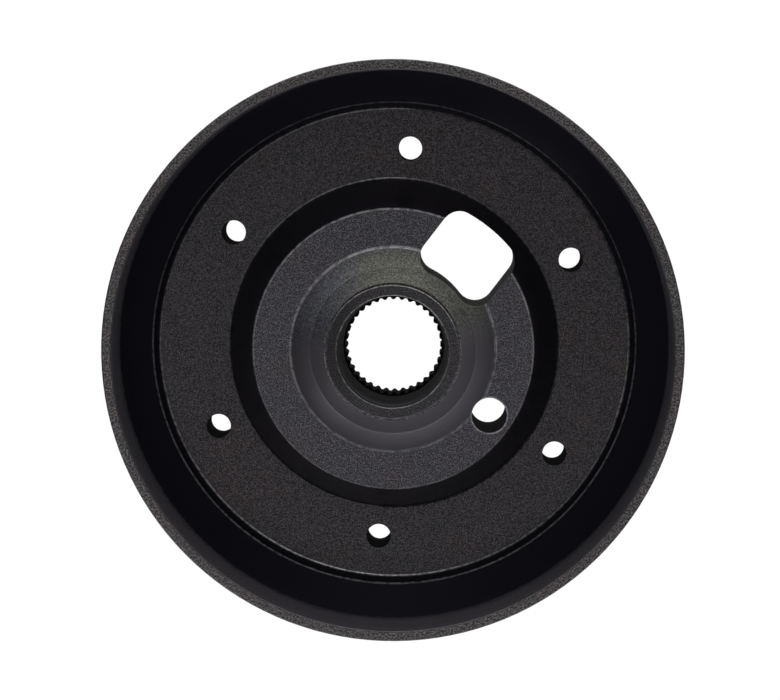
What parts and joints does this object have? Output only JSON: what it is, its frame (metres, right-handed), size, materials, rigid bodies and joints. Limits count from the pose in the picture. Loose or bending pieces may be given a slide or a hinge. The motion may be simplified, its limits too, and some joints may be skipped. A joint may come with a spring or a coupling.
{
  "type": "steering wheel hub adapter",
  "caption": "Short round dish that bolts a steering wheel to a serrated column, with a raised centre, a cable window, a pin hole and a thin skirt over the column shroud.",
  "frame": {"origin": "centre of the wheel seat face, on the column axis; the part lies on that face", "axes": "+Z along the column axis, from the wheel towards the column; a screw hole lies in the +Y direction, the cable window is at 55 degrees and the pin hole at -30 degrees from +X"},
  "size_m": [0.1012, 0.1012, 0.0348],
  "materials": {
    "coated_aluminium": "blasted and black anodised, fine grain, satin on turned walls",
    "coated_skirt": "black anodised, smooth inner wall, fine grain on the lip",
    "blackened_steel": "blackened, turned lead-in and cut serrations"
  },
  "bodies": {
    "root": {"hub_body": "coated_aluminium", "skirt_ring": "coated_skirt", "splined_sleeve": "blackened_steel"}
  },
  "joints": []
}
